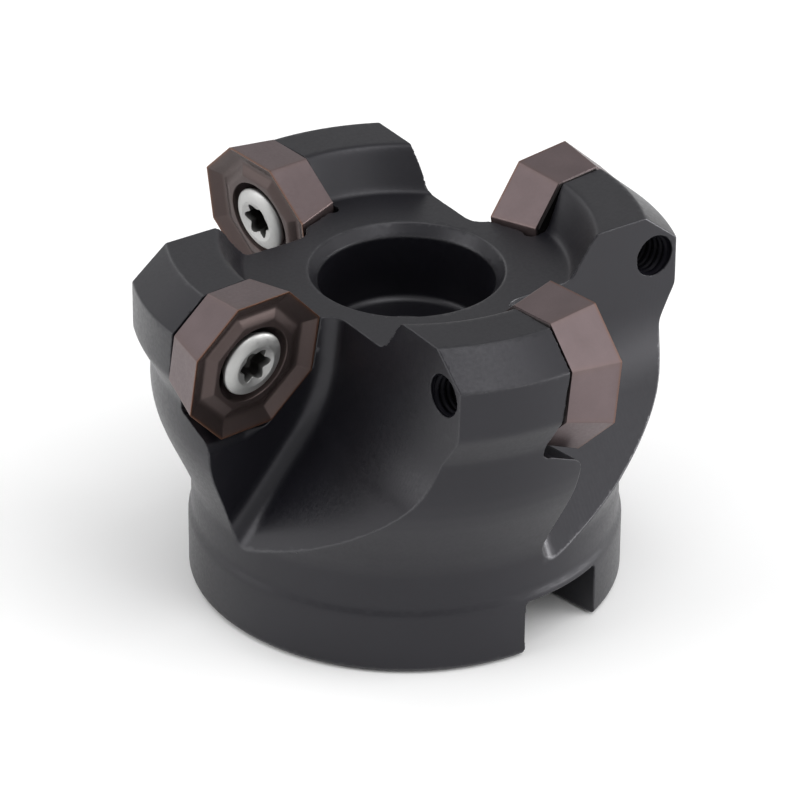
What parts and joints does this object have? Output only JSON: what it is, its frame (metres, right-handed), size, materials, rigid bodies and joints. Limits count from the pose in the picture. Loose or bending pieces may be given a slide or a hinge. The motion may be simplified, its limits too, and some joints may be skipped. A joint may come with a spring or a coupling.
{
  "type": "face mill",
  "caption": "Shell face mill: a steel cutter body with octagonal indexable inserts held by screws, an arbor bore and a drive slot.",
  "frame": {"origin": "centre of the annular face that meets the arbor", "axes": "+Z along the spindle axis towards the cutting end, X along the drive slot"},
  "size_m": [0.0596, 0.0596, 0.04],
  "materials": {
    "black_oxide_steel": "black oxide over fine machined steel, satin",
    "coated_carbide": "mauve brown coating on sintered carbide, satin",
    "bright_steel": "satin nickel-coloured steel"
  },
  "bodies": {
    "cutter": {"cutter_body": "black_oxide_steel"},
    "insert_1": {"insert_1": "coated_carbide"},
    "insert_screw_1": {"insert_screw_1": "bright_steel"},
    "insert_2": {"insert_2": "coated_carbide"},
    "insert_screw_2": {"insert_screw_2": "bright_steel"},
    "insert_3": {"insert_3": "coated_carbide"},
    "insert_screw_3": {"insert_screw_3": "bright_steel"},
    "insert_4": {"insert_4": "coated_carbide"},
    "insert_screw_4": {"insert_screw_4": "bright_steel"}
  },
  "joints": [
    {"name": "insert_1_lift", "type": "slide", "parent": "cutter", "child": "insert_1", "axis": [0.095, 0.9846, -0.1469], "range_m": [0, 0.014]},
    {"name": "insert_screw_1_turn", "type": "hinge", "parent": "insert_1", "child": "insert_screw_1", "pos_m": [0.02188, 0, 0.03204], "axis": [0.095, 0.9846, -0.1469], "range_deg": [0, 6300]},
    {"name": "insert_2_lift", "type": "slide", "parent": "cutter", "child": "insert_2", "axis": [-0.9846, 0.095, -0.1469], "range_m": [0, 0.014]},
    {"name": "insert_screw_2_turn", "type": "hinge", "parent": "insert_2", "child": "insert_screw_2", "pos_m": [0, 0.02188, 0.03204], "axis": [-0.9846, 0.095, -0.1469], "range_deg": [0, 6300]},
    {"name": "insert_3_lift", "type": "slide", "parent": "cutter", "child": "insert_3", "axis": [-0.095, -0.9846, -0.1469], "range_m": [0, 0.014]},
    {"name": "insert_screw_3_turn", "type": "hinge", "parent": "insert_3", "child": "insert_screw_3", "pos_m": [-0.02188, 0, 0.03204], "axis": [-0.095, -0.9846, -0.1469], "range_deg": [0, 6300]},
    {"name": "insert_4_lift", "type": "slide", "parent": "cutter", "child": "insert_4", "axis": [0.9846, -0.095, -0.1469], "range_m": [0, 0.014]},
    {"name": "insert_screw_4_turn", "type": "hinge", "parent": "insert_4", "child": "insert_screw_4", "pos_m": [0, -0.02188, 0.03204], "axis": [0.9846, -0.095, -0.1469], "range_deg": [0, 6300]}
  ],
  "couplings": [
    {"joint": "insert_screw_1_turn", "follows": "insert_1_lift", "rad_per_m": 7854},
    {"joint": "insert_screw_2_turn", "follows": "insert_2_lift", "rad_per_m": 7854},
    {"joint": "insert_screw_3_turn", "follows": "insert_3_lift", "rad_per_m": 7854},
    {"joint": "insert_screw_4_turn", "follows": "insert_4_lift", "rad_per_m": 7854}
  ]
}
